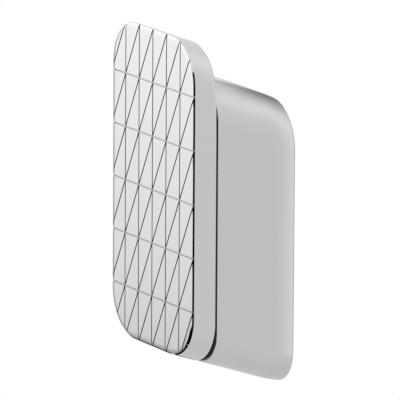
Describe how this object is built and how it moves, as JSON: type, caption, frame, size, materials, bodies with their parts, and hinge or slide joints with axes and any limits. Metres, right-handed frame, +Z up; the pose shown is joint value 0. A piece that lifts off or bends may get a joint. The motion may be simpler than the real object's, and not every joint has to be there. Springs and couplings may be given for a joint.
{
  "type": "towel hook",
  "caption": "Chrome towel hook with an engraved upright front plate whose top forms a lip, on a hollow sloping body that slides onto a wall bracket.",
  "frame": {"origin": "on the wall, at the middle of the body's wall end, on the pad's back face", "axes": "+X to the right as one looks at the hook on its wall, +Y into the wall, +Z up"},
  "size_m": [0.036, 0.0265, 0.08],
  "materials": {
    "plate_chrome": "polished chrome plate",
    "body_chrome": "polished chrome plate",
    "spacer_black": "matt black",
    "bracket_galvanised": "galvanised",
    "pad_rubber": "matt grey",
    "screw_stainless": "stainless, plain",
    "washer_spring_steel": "plain",
    "pin_steel": "ground",
    "grub_steel": "plain"
  },
  "bodies": {
    "bracket": {"wall_bracket": "bracket_galvanised", "wall_pad": "pad_rubber"},
    "hook": {"front_plate": "plate_chrome", "shadow_spacer": "spacer_black", "hook_body": "body_chrome", "upper_plate_screw": "screw_stainless", "lower_plate_screw": "screw_stainless", "upper_washer": "washer_spring_steel", "lower_washer": "washer_spring_steel", "upper_locating_pin": "pin_steel", "lower_locating_pin": "pin_steel"},
    "clamp": {"grub_screw": "grub_steel"}
  },
  "joints": [
    {"name": "hook_slide", "type": "slide", "parent": "bracket", "child": "hook", "axis": [0, -0.9432, 0.3322], "range_m": [0, 0.012]},
    {"name": "grub_turn", "type": "hinge", "parent": "hook", "child": "clamp", "pos_m": [0, -0.0053, -0.027], "axis": [0, 0, -1], "range_deg": [0, 720]}
  ]
}
